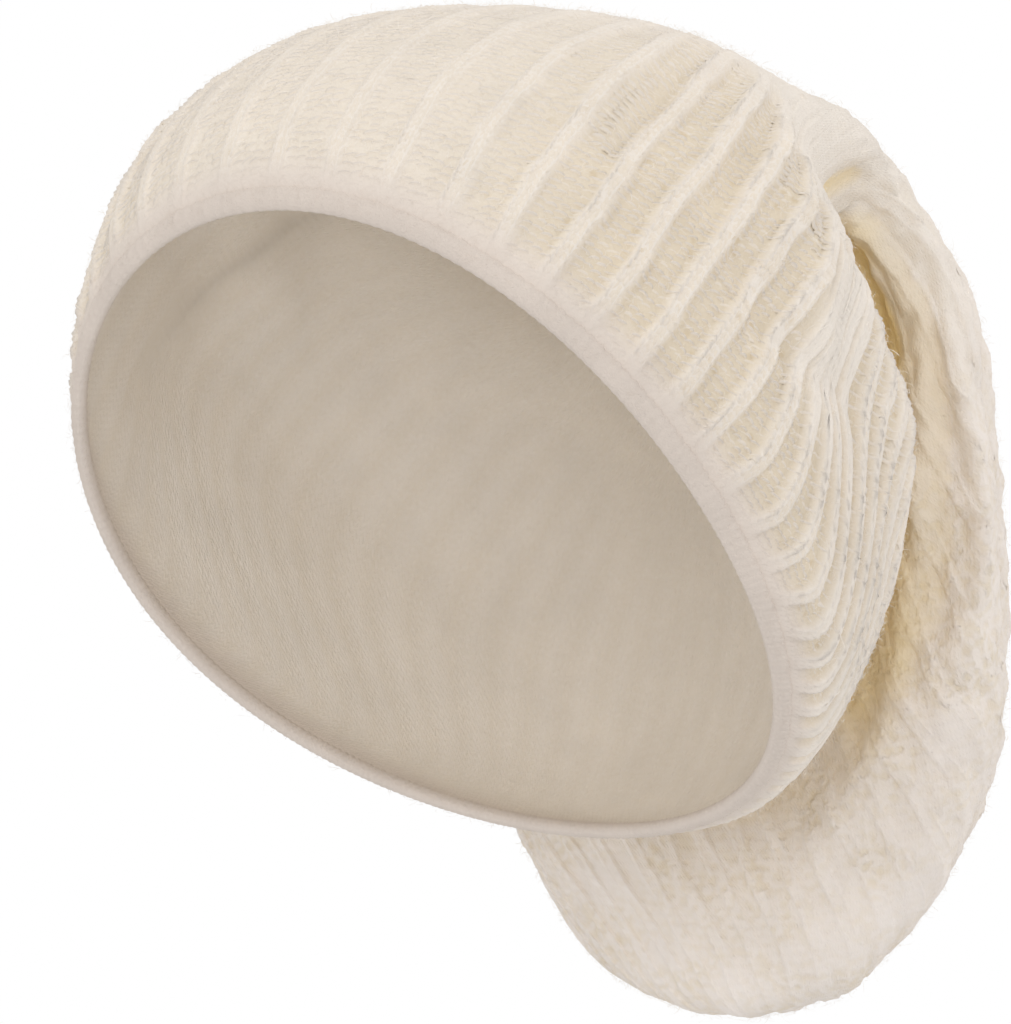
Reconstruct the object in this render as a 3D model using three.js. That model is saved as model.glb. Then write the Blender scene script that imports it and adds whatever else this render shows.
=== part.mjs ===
// Slouch beanie in wide-rib wool knit, in the form it has on the head.
// Millimetres, +Z up. The face looks towards -Y and the wearer's left is +X.
// The origin is the middle of the head opening.
//
// The hat is one knitted tube. It is described by closed sections that follow each other from the
// brim over the head, through the pinched fold behind the crown and down the bag to its gathered tip.
// A section stands between a point on the top line and a point on the under line, both in the
// middle plane of the head, and reaches half its width to either side.

import * as THREE from 'three';

// Driving dimensions
const WALL = 3.0; // thickness of the knit
const HEM_TALL = 5.2; // rolled edge, measured along the cloth
const HEM_THICK = 4.4; // rolled edge, measured through the cloth
const GAP = 0.3; // between the rolled edge and the tube
const FACETS_ROUND = 60; // round the tube and the hem
const FACETS_PER_SECTION = 2; // along the tube between two sections
const HEM_SIDES = 8; // round the section of the rolled edge
const SECTION_SPACING = 24; // mean length of cloth between two sections, to measure folds by
const DEGREE_LENGTH = 1.4; // mean length of cloth in one degree round the tube, to measure folds by
const BOW_STEPS = 10; // straight pieces in the bowed line of a fold
const MARCH_STEP = 0.005; // in sections, to measure along the cloth
const SLOPE_STEP = 0.01; // in sections or radians, to find the direction of the cloth

// The sections. top and under are Y and Z of the two points in the middle plane, square is the
// exponent of the outline (2 is an ellipse), side is how far Y and Z move at the widest points, and
// egg makes the outline wider towards the top line.
const SECTION_COLUMNS = ['topY', 'topZ', 'underY', 'underZ', 'half', 'square', 'sideY', 'sideZ', 'egg'];
const SECTIONS = [
  [-66, 71, 66, -71, 84, 2, -8, -8, 0], // brim: high on the forehead, low on the nape
  [-60, 87, 86, -69, 91, 2, -7, -7, 0.05],
  [-46, 101.5, 105, -52, 93, 2.05, -4, -4, 0.08],
  [-23, 113, 116, -26, 91, 2.1, -1, -1, 0.1],
  [5, 119, 120, 0, 77, 2.15, -5, 1, 0.26], // top of the head
  [34, 119.5, 120, 24, 58, 2.15, -7, 1, 0.46],
  [64, 114.5, 115, 45, 51, 2.1, -2, 0, 0.48],
  [93, 106.5, 107, 60, 53, 2.1, -2, -1, 0.36], // pinched neck, where the cloth turns down
  [118, 98, 113, 65, 55, 2.2, -11, -2, 0.24],
  [142, 87, 122, 62, 60, 2.2, -20, -2, 0.08],
  [160, 65, 127, 45, 67.5, 2.3, -21, 0, 0],
  [171, 34, 129, 16, 72, 2.3, -24, 0, 0],
  [176, -2, 128.5, -16, 73.5, 2.3, -24, 0, 0], // widest part of the bag
  [176, -38, 125, -52, 70.5, 2.2, -19, 0, 0],
  [171, -68, 117, -87, 59, 2.1, -10, 0, 0],
  [162, -88, 120, -114, 39, 2, -3, 0, 0],
  [155, -98, 143, -115, 17, 2, 0, 0, 0],
  [150.5, -105, 149, -107.5, 3, 2, 0, 0, 0], // gathered tip
];

// The folds: a bowed line through three places, each a section number and degrees round from the
// top line (plus is the wearer's left), with the height of the fold (minus is a crease) and its
// half width in millimetres.
const FOLD_COLUMNS = ['from', 'by', 'to', 'height', 'width'];
const FOLDS = [
  [[2.3, 42], [3.1, 41], [3.9, 45], -2.6, 4], // pleat on the left of the crown
  [[2.4, 36], [3.2, 35], [4.2, 38], 2.0, 6], // its lip
  [[2.3, 56], [3.0, 55], [4.1, 57], -1.6, 3.5], // gathers running up to the neck
  [[3.0, 61], [3.6, 59], [4.6, 60], 1.6, 4],
  [[2.1, 62], [1.9, 72], [2.2, 86], -2.4, 4], // crease across the ribs
  [[3.0, 66], [2.7, 71], [2.2, 77], 2.2, 4], // small ridge behind it
  [[4.3, 66], [3.9, 76], [3.5, 92], -5, 11], // valley where the bag turns over
  [[7.0, 107], [8.8, 122], [10.8, 136], -3.5, 12], // hollow on the bag's side of it
  [[10.2, 112], [11.9, 104], [13.5, 152], 3.2, 9], // crest down the left of the bag
  [[9.0, 60], [10.5, 75], [12.5, 80], -2.0, 9],
  [[2.6, -50], [3.4, -48], [4.4, -54], -2.6, 5], // pleat on the right of the crown
  [[2.6, -43], [3.4, -41], [4.4, -47], 1.8, 6],
  [[4.2, -66], [3.9, -76], [3.6, -88], -4, 11], // valley on the right
  [[2.0, -78], [2.6, -84], [3.4, -88], 1.8, 6],
  [[10.0, -112], [11.6, -108], [13.2, -140], 3.0, 9], // crest down the right of the bag
  [[8.6, -20], [10.6, -26], [13.4, -44], 2.4, 10], // soft folds down the back of the bag
  [[9.2, 6], [11.4, 2], [14.2, -12], -2.6, 9],
  [[8.8, 32], [10.8, 34], [13.6, 24], 2.4, 10],
  [[7.4, -14], [8.2, -12], [9.4, -6], -1.8, 6],
  [[7.4, 16], [8.4, 18], [9.6, 20], -1.8, 6],
];

/** Names the values of a table row. */
function named(columns, row) {
  return Object.fromEntries(columns.map((column, index) => [column, row[index]]));
}

/** Value of one column at a place between sections, on a smooth curve through the table. */
function alongTable(column, place) {
  const last = SECTIONS.length - 1;
  const first = Math.min(Math.floor(place), last - 1);
  const part = place - first;
  const p1 = SECTIONS[first][column];
  const p2 = SECTIONS[first + 1][column];
  const p0 = first > 0 ? SECTIONS[first - 1][column] : 2 * p1 - p2;
  const p3 = first + 2 <= last ? SECTIONS[first + 2][column] : 2 * p2 - p1;
  const bend = 2 * p0 - 5 * p1 + 4 * p2 - p3;
  const twist = 3 * p1 - p0 - 3 * p2 + p3;
  return 0.5 * (2 * p1 + (p2 - p0) * part + bend * part ** 2 + twist * part ** 3);
}

/** The section at a place between sections. */
function sectionAt(place) {
  const row = SECTION_COLUMNS.map((_, column) => alongTable(column, place));
  return named(SECTION_COLUMNS, row);
}

/** Point of the smooth tube, before its folds. */
function smoothPoint(place, angle) {
  const s = sectionAt(place);
  const cos = Math.cos(angle);
  const sin = Math.sin(angle);
  const reach = (Math.abs(cos) ** s.square + Math.abs(sin) ** s.square) ** (-1 / s.square);
  const up = cos * reach;
  const out = sin * reach;
  const x = s.half * out * (1 + s.egg * up);
  const y = (s.topY + s.underY) / 2 + up * (s.topY - s.underY) / 2 + s.sideY * out ** 2;
  const z = (s.topZ + s.underZ) / 2 + up * (s.topZ - s.underZ) / 2 + s.sideZ * out ** 2;
  return new THREE.Vector3(x, y, z);
}

/** Outward direction of the smooth tube. */
function outward(place, angle) {
  const last = SECTIONS.length - 1;
  const back = Math.max(place - SLOPE_STEP, 0);
  const ahead = Math.min(place + SLOPE_STEP, last);
  const along = smoothPoint(ahead, angle).sub(smoothPoint(back, angle));
  const round = smoothPoint(place, angle + SLOPE_STEP).sub(smoothPoint(place, angle - SLOPE_STEP));
  return round.cross(along).normalize();
}

/** Places along the bowed line of a fold, measured in millimetres of cloth. */
function foldLine(fold) {
  const corners = [fold.from, fold.by, fold.to].map(
    ([place, degrees]) => new THREE.Vector2(place * SECTION_SPACING, degrees * DEGREE_LENGTH),
  );
  return new THREE.SplineCurve(corners).getPoints(BOW_STEPS);
}

const FOLD_LINES = FOLDS.map((row) => {
  const fold = named(FOLD_COLUMNS, row);
  return { ...fold, line: foldLine(fold) };
});

/** Distance from a place on the cloth to a fold line. */
function distanceTo(line, place) {
  let least = Infinity;
  for (let i = 0; i < line.length - 1; i += 1) {
    const run = line[i + 1].clone().sub(line[i]);
    const from = place.clone().sub(line[i]);
    const share = THREE.MathUtils.clamp(from.dot(run) / run.lengthSq(), 0, 1);
    least = Math.min(least, from.addScaledVector(run, -share).length());
  }
  return least;
}

/** How far the folds raise the cloth at a place. */
function foldHeight(place, angle) {
  const turned = THREE.MathUtils.euclideanModulo(angle + Math.PI, 2 * Math.PI) - Math.PI;
  const degrees = THREE.MathUtils.radToDeg(turned);
  let height = 0;
  for (const fold of FOLD_LINES) {
    for (const degreesHere of [degrees, degrees - 360, degrees + 360]) {
      const here = new THREE.Vector2(place * SECTION_SPACING, degreesHere * DEGREE_LENGTH);
      height += fold.height * Math.exp(-((distanceTo(fold.line, here) / fold.width) ** 2));
    }
  }
  return height;
}

/** Point at a depth below the outer face of the cloth. */
function clothPoint(place, angle, depth) {
  const lift = foldHeight(place, angle) - depth;
  return smoothPoint(place, angle).addScaledVector(outward(place, angle), lift);
}

/** Place on the tube at a length of cloth from the brim. */
function placeAtLength(length, angle) {
  const brim = smoothPoint(0, angle);
  let place = 0;
  while (smoothPoint(place, angle).distanceTo(brim) < length) {
    place += MARCH_STEP;
  }
  return place;
}

/** Closed mesh from its points and triangles. */
function closedMesh(name, points, triangles, material) {
  const geometry = new THREE.BufferGeometry().setFromPoints(points);
  geometry.setIndex(triangles.flat());
  geometry.computeVertexNormals();
  const mesh = new THREE.Mesh(geometry, material);
  mesh.name = name;
  return mesh;
}

/** Triangles between two rings of points that start at the given numbers. */
function band(lower, upper, count) {
  const triangles = [];
  for (let i = 0; i < count; i += 1) {
    const next = (i + 1) % count;
    triangles.push([lower + i, lower + next, upper + next]);
    triangles.push([lower + i, upper + next, upper + i]);
  }
  return triangles;
}

/** The knitted tube: an outer and an inner face, joined at the brim and closed at the tip. */
function knitBody(material) {
  const last = SECTIONS.length - 1;
  const rowCount = last * FACETS_PER_SECTION;
  const points = [];
  const triangles = [];
  const face = (depth) => {
    const start = points.length;
    for (let row = 0; row < rowCount; row += 1) {
      for (let i = 0; i < FACETS_ROUND; i += 1) {
        const angle = (2 * Math.PI * i) / FACETS_ROUND;
        const edge = placeAtLength(HEM_TALL + GAP, angle);
        points.push(clothPoint(Math.max(row / FACETS_PER_SECTION, edge), angle, depth));
      }
    }
    const ring = points.slice(-FACETS_ROUND);
    const tip = ring.reduce((sum, point) => sum.add(point), new THREE.Vector3());
    points.push(tip.divideScalar(FACETS_ROUND));
    return start;
  };
  const outer = face(0);
  const inner = face(WALL);
  const ringAt = (start, row) => start + row * FACETS_ROUND;
  for (let row = 0; row < rowCount - 1; row += 1) {
    triangles.push(...band(ringAt(outer, row), ringAt(outer, row + 1), FACETS_ROUND));
    triangles.push(...band(ringAt(inner, row + 1), ringAt(inner, row), FACETS_ROUND));
  }
  triangles.push(...band(inner, outer, FACETS_ROUND));
  for (let i = 0; i < FACETS_ROUND; i += 1) {
    const next = (i + 1) % FACETS_ROUND;
    const outerRing = ringAt(outer, rowCount - 1);
    const innerRing = ringAt(inner, rowCount - 1);
    triangles.push([outerRing + i, outerRing + next, ringAt(outer, rowCount)]);
    triangles.push([innerRing + next, innerRing + i, ringAt(inner, rowCount)]);
  }
  return closedMesh('knit_body', points, triangles, material);
}

/** The rolled cast-on edge: a ring of oval section along the brim. */
function brimHem(material) {
  const points = [];
  const triangles = [];
  for (let i = 0; i < FACETS_ROUND; i += 1) {
    const angle = (2 * Math.PI * i) / FACETS_ROUND;
    const centre = placeAtLength(HEM_TALL / 2, angle);
    const middle = clothPoint(centre, angle, WALL / 2);
    const through = outward(centre, angle);
    const along = clothPoint(placeAtLength(HEM_TALL, angle), angle, WALL / 2).sub(middle).normalize();
    for (let side = 0; side < HEM_SIDES; side += 1) {
      const turn = (2 * Math.PI * side) / HEM_SIDES;
      const point = middle.clone();
      point.addScaledVector(along, (Math.cos(turn) * HEM_TALL) / 2);
      point.addScaledVector(through, (Math.sin(turn) * HEM_THICK) / 2);
      points.push(point);
    }
  }
  for (let i = 0; i < FACETS_ROUND; i += 1) {
    const next = (i + 1) % FACETS_ROUND;
    triangles.push(...band(i * HEM_SIDES, next * HEM_SIDES, HEM_SIDES));
  }
  return closedMesh('brim_hem', points, triangles, material);
}

const creamKnit = new THREE.MeshStandardMaterial({ color: 0xe8dcc8, roughness: 0.95, metalness: 0 });
const roseCreamEdge = new THREE.MeshStandardMaterial({ color: 0xdccdc2, roughness: 0.95, metalness: 0 });

const beanie = new THREE.Group();
beanie.name = 'slouch_beanie';
beanie.add(knitBody(creamKnit));
beanie.add(brimHem(roseCreamEdge));

export default beanie;
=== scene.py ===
"""Slouch beanie in wide-rib wool: the knitted looks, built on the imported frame.

The cloth is described by two numbers: rib, which counts the raised ribs round the tube from the
middle of the forehead, and row, which counts the knitted rows from the brim to the gathered tip.
Lengths are in millimetres until a mesh is made.
"""

import logging
from dataclasses import dataclass, field
from enum import Enum

import bpy
import numpy as np
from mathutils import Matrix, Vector
from mathutils.bvhtree import BVHTree

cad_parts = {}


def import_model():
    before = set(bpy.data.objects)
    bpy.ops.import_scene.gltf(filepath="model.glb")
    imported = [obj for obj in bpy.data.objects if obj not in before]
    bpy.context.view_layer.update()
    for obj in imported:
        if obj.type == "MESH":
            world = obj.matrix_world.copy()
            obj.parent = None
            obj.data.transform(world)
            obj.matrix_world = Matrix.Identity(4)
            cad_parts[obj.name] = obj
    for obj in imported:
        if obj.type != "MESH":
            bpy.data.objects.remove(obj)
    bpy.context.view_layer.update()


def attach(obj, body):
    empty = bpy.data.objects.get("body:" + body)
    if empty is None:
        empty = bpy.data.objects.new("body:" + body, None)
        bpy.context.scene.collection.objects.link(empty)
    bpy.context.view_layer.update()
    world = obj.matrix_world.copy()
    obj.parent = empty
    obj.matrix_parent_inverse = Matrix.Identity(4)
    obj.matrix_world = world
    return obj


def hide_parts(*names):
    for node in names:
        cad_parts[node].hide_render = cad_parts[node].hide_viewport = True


log = logging.getLogger("beanie")

Array = np.ndarray
Colour = tuple[float, float, float, float]
Socket = bpy.types.NodeSocket

MM = 0.001
BODY = "root"

RIBS = 60  # raised ribs round the brim
RIB_CROWDING = 0.33  # how much closer the ribs stand at the nape than at the forehead
ROW_LENGTH = 2.25  # mean length of a knitted row along the tube
NECK_END = 7.8  # section from which only every second rib runs on, down the bag
TIP_START = 15.3  # section from which only every fourth rib is left
GOLDEN_ANGLE = 2.399963  # radians, spreads directions evenly
OFF_AXIS = (0.31, 0.17, 0.93)  # fixed direction, to find directions along the cloth with

# A row for each section from the brim to the tip: Y and Z of its point on the top line, Y and Z of
# its point on the under line, half width, squareness, shift of the sides in Y and Z, and egg shape.
SECTIONS = (
    (-66, 71, 66, -71, 84, 2, -8, -8, 0),
    (-60, 87, 86, -69, 91, 2, -7, -7, 0.05),
    (-46, 101.5, 105, -52, 93, 2.05, -4, -4, 0.08),
    (-23, 113, 116, -26, 91, 2.1, -1, -1, 0.1),
    (5, 119, 120, 0, 77, 2.15, -5, 1, 0.26),
    (34, 119.5, 120, 24, 58, 2.15, -7, 1, 0.46),
    (64, 114.5, 115, 45, 51, 2.1, -2, 0, 0.48),
    (93, 106.5, 107, 60, 53, 2.1, -2, -1, 0.36),
    (118, 98, 113, 65, 55, 2.2, -11, -2, 0.24),
    (142, 87, 122, 62, 60, 2.2, -20, -2, 0.08),
    (160, 65, 127, 45, 67.5, 2.3, -21, 0, 0),
    (171, 34, 129, 16, 72, 2.3, -24, 0, 0),
    (176, -2, 128.5, -16, 73.5, 2.3, -24, 0, 0),
    (176, -38, 125, -52, 70.5, 2.2, -19, 0, 0),
    (171, -68, 117, -87, 59, 2.1, -10, 0, 0),
    (162, -88, 120, -114, 39, 2, -3, 0, 0),
    (155, -98, 143, -115, 17, 2, 0, 0, 0),
    (150.5, -105, 149, -107.5, 3, 2, 0, 0, 0),
)

# Soft folds: three places (section, degrees from the top line towards +X) on a bowed line, height
# (less than 0 for a crease) and half width.
FOLDS = (
    ((2.3, 42), (3.1, 41), (3.9, 45), -2.6, 4),  # pleat on the left of the crown
    ((2.4, 36), (3.2, 35), (4.2, 38), 2.0, 6),  # its lip
    ((2.3, 56), (3.0, 55), (4.1, 57), -1.6, 3.5),  # gathers running up to the neck
    ((3.0, 61), (3.6, 59), (4.6, 60), 1.6, 4),
    ((2.1, 62), (1.9, 72), (2.2, 86), -2.4, 4),  # crease across the ribs
    ((3.0, 66), (2.7, 71), (2.2, 77), 2.2, 4),  # small ridge behind it
    ((4.3, 66), (3.9, 76), (3.5, 92), -5, 11),  # valley where the bag turns over
    ((7.0, 115), (8.8, 134), (10.8, 147), -3.5, 7),  # crease on the bag's side of it
    ((7.8, 109), (9.4, 122), (11.2, 131), 3.4, 8),  # roll of cloth along that crease
    ((11.3, 131), (12.1, 136), (13.0, 140), 2.6, 7),
    ((5.4, 97), (6.1, 92), (6.9, 87), -2.6, 10),  # dimple over the valley
    ((10.2, 112), (11.9, 104), (13.5, 152), 3.2, 9),  # crest down the left of the bag
    ((9.0, 60), (10.5, 75), (12.5, 80), -2.0, 9),
    ((2.6, -50), (3.4, -48), (4.4, -54), -2.6, 5),  # pleat on the right of the crown
    ((2.6, -43), (3.4, -41), (4.4, -47), 1.8, 6),
    ((4.2, -66), (3.9, -76), (3.6, -88), -4, 11),  # valley on the right
    ((2.0, -78), (2.6, -84), (3.4, -88), 1.8, 6),
    ((10.0, -112), (11.6, -108), (13.2, -140), 3.0, 9),  # crest down the right of the bag
    ((8.6, -20), (10.6, -26), (13.4, -44), 2.4, 10),  # soft folds down the back of the bag
    ((9.2, 6), (11.4, 2), (14.2, -12), -2.6, 9),
    ((8.8, 32), (10.8, 34), (13.6, 24), 2.4, 10),
    ((7.4, -14), (8.2, -12), (9.4, -6), -1.8, 6),
    ((7.4, 16), (8.4, 18), (9.6, 20), -1.8, 6),
)


class Face(Enum):
    """The two faces of the cloth."""

    OUTER = "outer"
    INNER = "inner"


class Part(Enum):
    """The two stretches of the tube whose stitches are kept as separate pieces."""

    HEAD = "head"
    BAG = "bag"


def ease(low: float, high: float, value: Array) -> Array:
    """Smooth step from 0 at low to 1 at high."""
    share = np.clip((np.asarray(value, float) - low) / (high - low), 0, 1)
    return share * share * (3 - 2 * share)


def ring_quads(rows: int, columns: int) -> Array:
    """Four-cornered faces of a grid of points whose columns close into a ring.

    Args:
        rows: Points along.
        columns: Points round.

    Returns:
        Point numbers, a row for each face.
    """
    number = np.arange(rows * columns).reshape(rows, columns)
    after = np.roll(number, -1, 1)
    return np.stack([number[:-1], after[:-1], after[1:], number[1:]], -1).reshape(-1, 4)


def catmull(points: Array, place: Array) -> Array:
    """Smooth curve through rows of points, with mirrored ends.

    Args:
        points: One row of values for each whole number.
        place: Places along the rows.

    Returns:
        The values at each place.
    """
    last = len(points) - 1
    place = np.clip(np.asarray(place, float), 0, last)
    first = np.minimum(place.astype(int), last - 1)
    part = (place - first)[..., None]
    p1, p2 = points[first], points[first + 1]
    p0 = np.where((first > 0)[..., None], points[np.maximum(first - 1, 0)], 2 * p1 - p2)
    p3 = np.where((first + 2 <= last)[..., None], points[np.minimum(first + 2, last)], 2 * p2 - p1)
    bend = 2 * p0 - 5 * p1 + 4 * p2 - p3
    twist = 3 * p1 - p0 - 3 * p2 + p3
    return 0.5 * (2 * p1 + (p2 - p0) * part + bend * part**2 + twist * part**3)


@dataclass(frozen=True)
class TubeForm:
    """Smooth form of the hat: a tube of closed sections with soft folds on it.

    Attributes:
        spacing: Mean length of cloth between two sections, to measure folds by.
        degree_length: Mean length of cloth in one degree round, to measure folds by.
        bow_points: Points on the bowed line of a fold.
        fold_reach: Half widths from its line at which a fold has faded out.
        fold_margin: Length added to that reach.
        sections: The table of sections.
    """

    spacing: float = 24.0
    degree_length: float = 1.4
    bow_points: int = 9
    fold_reach: float = 3.0
    fold_margin: float = 8.0
    sections: Array = field(default_factory=lambda: np.array(SECTIONS, float))

    @property
    def last(self) -> int:
        """Number of the tip section."""
        return len(self.sections) - 1

    def point(self, place: Array, angle: Array) -> Array:
        """Points of the smooth tube.

        Args:
            place: Section numbers.
            angle: Radians round from the top line.

        Returns:
            Points in millimetres.
        """
        place, angle = np.broadcast_arrays(place, angle)
        s = np.moveaxis(catmull(self.sections, place), -1, 0)
        cos, sin = np.cos(angle), np.sin(angle)
        reach = (np.abs(cos) ** s[5] + np.abs(sin) ** s[5]) ** (-1 / s[5])
        up, out = cos * reach, sin * reach
        x = s[4] * out * (1 + s[8] * up)
        y = (s[0] + s[2]) / 2 + up * (s[0] - s[2]) / 2 + s[6] * out**2
        z = (s[1] + s[3]) / 2 + up * (s[1] - s[3]) / 2 + s[7] * out**2
        return np.stack([x, y, z], -1)

    def outward(self, place: Array, angle: Array, step: float = 0.01) -> Array:
        """Outward directions of the smooth tube.

        Args:
            place: Section numbers.
            angle: Radians round from the top line.
            step: Distance to the places compared, in sections and radians.

        Returns:
            Unit vectors.
        """
        back, ahead = np.maximum(place - step, 0), np.minimum(place + step, self.last)
        along = self.point(ahead, angle) - self.point(back, angle)
        across = self.point(place, angle + step) - self.point(place, angle - step)
        normal = np.cross(across, along)
        return normal / np.maximum(np.linalg.norm(normal, axis=-1, keepdims=True), 1e-9)

    def fold_height(self, place: Array, angle: Array) -> Array:
        """How far the folds raise the cloth.

        Args:
            place: Section numbers.
            angle: Radians round from the top line.

        Returns:
            Heights in millimetres.
        """
        degrees = np.degrees((angle + np.pi) % (2 * np.pi) - np.pi)
        here = np.stack([place * self.spacing, degrees * self.degree_length], -1)
        turn = np.array([0, 360 * self.degree_length])
        height = np.zeros(here.shape[:-1])
        for start, by, end, raised, width in FOLDS:
            corners = np.array([start, by, end]) * (self.spacing, self.degree_length)
            line = catmull(corners, np.linspace(0, len(corners) - 1, self.bow_points))
            reach = np.ptp(line, axis=0) / 2 + self.fold_reach * width + self.fold_margin
            for wrap in (-1, 0, 1):
                spot = here + wrap * turn
                near = (np.abs(spot - line.mean(0)) < reach).all(-1)
                if near.any():
                    away = self._distance(line, spot[near])
                    height[near] += raised * np.exp(-((away / width) ** 2))
        return height

    @staticmethod
    def _distance(line: Array, spots: Array) -> Array:
        """Distance from each spot to a line of straight pieces.

        Args:
            line: Corners of the line.
            spots: Places to measure from.

        Returns:
            A length for each spot.
        """
        least = np.full(len(spots), np.inf)
        for start, end in zip(line[:-1], line[1:]):
            run = end - start
            share = np.clip((spots - start) @ run / (run @ run), 0, 1)
            least = np.minimum(least, np.linalg.norm(spots - start - share[:, None] * run, axis=1))
        return least


@dataclass
class Cloth:
    """The cloth sampled over rows and ribs, with all that the stitches need to know about a place.

    Attributes:
        form: The smooth tube.
        rows_step: Rows between two samples.
        ribs_step: Ribs between two samples.
        form_samples: Places at which the length of the tube is measured.
        gauge_degrees: Lines along the tube whose mean is its length.
        rib_half: Half width of a rib with room on both sides.
        crowded: Half width of a crowded rib, as a share of the room from one rib to the next.
        trough_depth: Depth of a trough under the smooth cloth.
        rib_height: Height of a rib over the smooth cloth.
        lip: Height of a rib's edges over its middle.
        wander: Most that a rib strays sideways.
        shade_step: Samples between two places whose openness is measured.
    """

    form: TubeForm
    rows_step: float = 0.5
    ribs_step: float = 1 / 12
    form_samples: int = 1701
    gauge_degrees: tuple[float, ...] = (0, 45, 70, 110, 180, -110, -70, -45)
    rib_half: float = 2.1
    crowded: float = 0.46
    trough_depth: float = 2.1
    rib_height: float = 0.15
    lip: float = 0.75
    wander: float = 0.5
    shade_step: int = 4

    def __post_init__(self) -> None:
        """Samples the cloth."""
        fine = np.linspace(0, self.form.last, self.form_samples)
        angles = np.radians(self.gauge_degrees)
        runs = np.linalg.norm(np.diff(self.form.point(fine[:, None], angles), axis=0), axis=-1)
        length = np.concatenate([[0], np.cumsum(runs.mean(1))])
        self.row_count = int(length[-1] / ROW_LENGTH)
        self.rows = np.arange(0, self.row_count + 1e-6, self.rows_step)
        self.place = np.interp(self.rows * length[-1] / self.row_count, length, fine)
        self.ribs = np.arange(-RIBS / 2, RIBS / 2, self.ribs_step)
        self.angle = self._angles()
        place = self.place[:, None] + 0 * self.angle
        smooth = self.form.point(place, self.angle)
        self.normal = self.form.outward(place, self.angle)
        self.fold = self.form.fold_height(place, self.angle)
        lift = self.fold + self._ripple()
        self.point = smooth + self.normal * lift[..., None]
        self.rib_pitch = self._pitch(smooth, 1, self.ribs_step)
        self.row_pitch = self._pitch(smooth, 0, self.rows_step)
        self.relief = self._relief()
        self.openness = np.ones_like(self.relief)

    def _angles(self) -> Array:
        """Angle round the tube of each rib line at each row.

        Round the head the ribs crowd together towards the nape and drift with the gathers. On the
        bag they are evenly spaced and turn slowly round it.

        Returns:
            Radians, a row for each row of the cloth.
        """
        turn = 2 * np.pi * self.ribs / RIBS
        base = turn.copy()
        for _ in range(30):  # Newton's method
            error = base - RIB_CROWDING * np.sin(base) - turn
            base -= error / (1 - RIB_CROWDING * np.cos(base))
        side, size = np.sign(base), np.degrees(np.abs(base))
        near_nape = ease(70, 106, size) * (1 - ease(112, 180, size))
        place = self.place[:, None]
        drift = 4 * ease(0.1, 0.9, place) - 24 * ease(0.9, 2.6, place) * (1 - ease(4, 7, place))
        head = base + np.radians(drift * near_nape) * side
        bag = np.empty_like(head)
        around = np.linspace(0, 2 * np.pi, 721)
        for i, here in enumerate(self.place):
            ring = self.form.point(np.full_like(around, here), around)
            arc = np.concatenate([[0], np.cumsum(np.linalg.norm(np.diff(ring, axis=0), axis=1))])
            share = self.ribs / RIBS + self._twist(here)
            bag[i] = np.interp(share % 1, arc / arc[-1], around) + 2 * np.pi * np.floor(share)
        mix = ease(4.5, 9.0, place)
        return (1 - mix) * head + mix * bag

    @staticmethod
    def _twist(place: float) -> float:
        """Turn of the ribs round the bag, as a share of its girth."""
        return float(np.interp(place, [0, 10.5, 12.5, 14.5, 17], [0, 0, -0.075, -0.225, -0.34]))

    def _ripple(self) -> Array:
        """Slow uneven waves of worn cloth, and smaller swells where it is felted.

        Returns:
            Heights in millimetres.
        """
        turn = 2 * np.pi * self.ribs[None] / RIBS
        row = self.rows[:, None]
        waves = (  # number round the tube, turn for each row, start and height
            (3, 0.045, 0.4, 0.5),
            (5, -0.07, 2.1, 0.4),
            (8, 0.11, 4.0, 0.3),
            (13, -0.16, 1.3, 0.22),
        )
        total = sum(size * np.sin(count * turn + rate * row + start) for count, rate, start, size in waves)
        blobs = ((31, 0.9, 0.2), (-47, 0.6, 1.7), (21, -1.2, 3.1), (-37, 1.6, 5.0), (13, 0.5, 4.1))
        felted = sum(np.sin(count * turn + rate * row + start) for count, rate, start in blobs)
        place = self.place[:, None]
        total = total + 0.24 * felted * ease(5, 8.5, place) * (1 - ease(13, 15, place))
        return total * ease(0, 14, row) * (1 - ease(170, 190, row))

    @staticmethod
    def _pitch(points: Array, axis: int, step: float, least: float = 0.05) -> Array:
        """Length of cloth for one unit along an axis of the samples.

        Args:
            points: Points of the samples.
            axis: 0 along the rows, or 1 round the ribs.
            step: Units between two samples.
            least: The smallest length given.

        Returns:
            Lengths in millimetres.
        """
        if axis == 1:
            change = (np.roll(points, -1, 1) - np.roll(points, 1, 1)) / (2 * step)
        else:
            change = np.gradient(points, step, axis=0)
        return np.maximum(np.linalg.norm(change, axis=-1), least)

    @staticmethod
    def rib_step(place: Array) -> Array:
        """How many rib numbers lie from one rib to the next at a section."""
        return np.where(place < NECK_END, 1, np.where(place < TIP_START, 2, 4))

    def gap(self, row: float) -> int:
        """How many rib numbers lie from one rib to the next at a row."""
        return int(self.rib_step(np.interp(row, self.rows, self.place)))

    def rib_width(self, rib: Array, row: Array) -> Array:
        """Half width of a raised rib, which narrows where the ribs crowd together."""
        return np.minimum(self.rib_half, self.crowded * self.room(rib, row))

    def room(self, rib: Array, row: Array) -> Array:
        """Width from one rib to the next in millimetres."""
        step = self.rib_step(np.interp(row, self.rows, self.place))
        return step * self.sample(self.rib_pitch, rib, row)

    @staticmethod
    def strength(place: Array, angle: Array) -> Array:
        """How far the ribs stand out: least on the stretched forehead and on the felted bag.

        Args:
            place: Section numbers.
            angle: Radians round from the top line.

        Returns:
            Shares of the full height.
        """
        degrees = np.degrees(np.abs(angle))
        forehead = 1 - 0.6 * (1 - ease(15, 50, degrees))
        nape = 1 - 0.2 * ease(120, 170, degrees)
        bag = 1 - 0.74 * ease(6.5, 8.5, place) * (1 - 0.2 * ease(12, 15, place))
        neck = 1 - 0.7 * ease(3.4, 5.2, place) * (1 - ease(7.5, 8.5, place))
        return forehead * nape * bag * neck

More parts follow.
